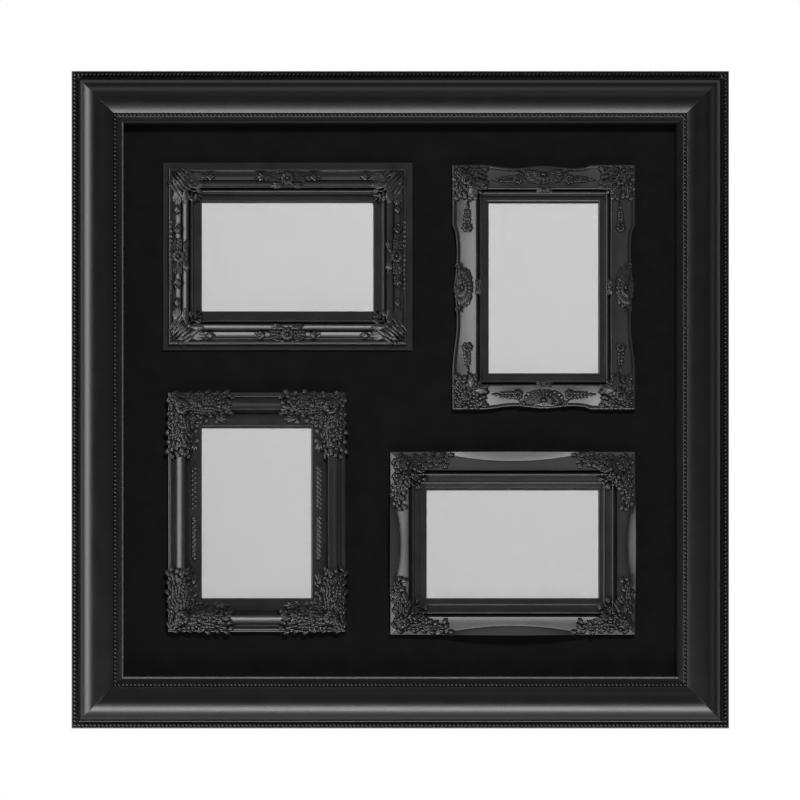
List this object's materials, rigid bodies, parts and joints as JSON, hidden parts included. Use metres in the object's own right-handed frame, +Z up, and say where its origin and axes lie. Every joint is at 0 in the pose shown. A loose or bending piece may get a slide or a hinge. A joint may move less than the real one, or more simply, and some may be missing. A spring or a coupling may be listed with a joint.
{
  "type": "collage photo frame",
  "caption": "Square wall frame: small ornate photo frames on a recessed board inside one deep outer moulding.",
  "frame": {"origin": "middle of the whole frame's bounding box, bumpers included", "axes": "+X to the viewer's right, +Z up, front faces -Y and the wall side is +Y"},
  "size_m": [0.56, 0.041, 0.56],
  "materials": {
    "moulding_paint": "satin",
    "ornate_paint": "satin",
    "board_paint": "matte",
    "clear_glass": "polished",
    "print_paper": "matte",
    "filler_card": "matte",
    "back_card": "matte",
    "dark_steel": "satin",
    "bright_steel": "satin",
    "bumper_rubber": "matte"
  },
  "bodies": {
    "frame": {"backing_board": "board_paint", "berry_filler_card": "filler_card", "berry_frame": "ornate_paint", "berry_glass": "clear_glass", "berry_photo_back": "back_card", "berry_print": "print_paper", "board_points": "bright_steel", "bottom_rail": "moulding_paint", "corner_v_nails": "bright_steel", "frame_staples": "bright_steel", "hanger_screws": "bright_steel", "left_hanger_strap": "bright_steel", "left_rail": "moulding_paint", "reeded_filler_card": "filler_card", "reeded_frame": "ornate_paint", "reeded_glass": "clear_glass", "reeded_photo_back": "back_card", "reeded_print": "print_paper", "right_hanger_strap": "bright_steel", "right_rail": "moulding_paint", "rose_filler_card": "filler_card", "rose_frame": "ornate_paint", "rose_glass": "clear_glass", "rose_photo_back": "back_card", "rose_print": "print_paper", "shell_filler_card": "filler_card", "shell_frame": "ornate_paint", "shell_glass": "clear_glass", "shell_photo_back": "back_card", "shell_print": "print_paper", "top_rail": "moulding_paint", "turn_button_screws": "bright_steel", "wall_bumpers": "bumper_rubber"},
    "berry_turn_button_lower": {"berry_turn_button_lower": "dark_steel"},
    "berry_turn_button_upper": {"berry_turn_button_upper": "dark_steel"},
    "left_hanger_ring": {"left_hanger_ring": "bright_steel"},
    "reeded_turn_button_lower": {"reeded_turn_button_lower": "dark_steel"},
    "reeded_turn_button_upper": {"reeded_turn_button_upper": "dark_steel"},
    "right_hanger_ring": {"right_hanger_ring": "bright_steel"},
    "rose_turn_button_lower": {"rose_turn_button_lower": "dark_steel"},
    "rose_turn_button_upper": {"rose_turn_button_upper": "dark_steel"},
    "shell_turn_button_lower": {"shell_turn_button_lower": "dark_steel"},
    "shell_turn_button_upper": {"shell_turn_button_upper": "dark_steel"}
  },
  "joints": [
    {"name": "reeded_lower_turn", "type": "hinge", "parent": "frame", "child": "reeded_turn_button_lower", "pos_m": [-0.0958, 0.0093, 0.06335], "axis": [0, 1, 0], "continuous": true},
    {"name": "reeded_upper_turn", "type": "hinge", "parent": "frame", "child": "reeded_turn_button_upper", "pos_m": [-0.0958, 0.0093, 0.18105], "axis": [0, 1, 0], "continuous": true},
    {"name": "shell_lower_turn", "type": "hinge", "parent": "frame", "child": "shell_turn_button_lower", "pos_m": [0.18105, 0.0093, 0.0958], "axis": [0, 1, 0], "continuous": true},
    {"name": "shell_upper_turn", "type": "hinge", "parent": "frame", "child": "shell_turn_button_upper", "pos_m": [0.06335, 0.0093, 0.0958], "axis": [0, 1, 0], "continuous": true},
    {"name": "rose_lower_turn", "type": "hinge", "parent": "frame", "child": "rose_turn_button_lower", "pos_m": [-0.06335, 0.0093, -0.0958], "axis": [0, 1, 0], "continuous": true},
    {"name": "rose_upper_turn", "type": "hinge", "parent": "frame", "child": "rose_turn_button_upper", "pos_m": [-0.18105, 0.0093, -0.0958], "axis": [0, 1, 0], "continuous": true},
    {"name": "berry_lower_turn", "type": "hinge", "parent": "frame", "child": "berry_turn_button_lower", "pos_m": [0.0958, 0.0093, -0.18105], "axis": [0, 1, 0], "continuous": true},
    {"name": "berry_upper_turn", "type": "hinge", "parent": "frame", "child": "berry_turn_button_upper", "pos_m": [0.0958, 0.0093, -0.06335], "axis": [0, 1, 0], "continuous": true},
    {"name": "left_ring_swing", "type": "hinge", "parent": "frame", "child": "left_hanger_ring", "pos_m": [-0.2615, 0.01775, 0.13], "axis": [1, 0, 0], "range_deg": [0, 176]},
    {"name": "right_ring_swing", "type": "hinge", "parent": "frame", "child": "right_hanger_ring", "pos_m": [0.2615, 0.01775, 0.13], "axis": [1, 0, 0], "range_deg": [0, 176]}
  ]
}
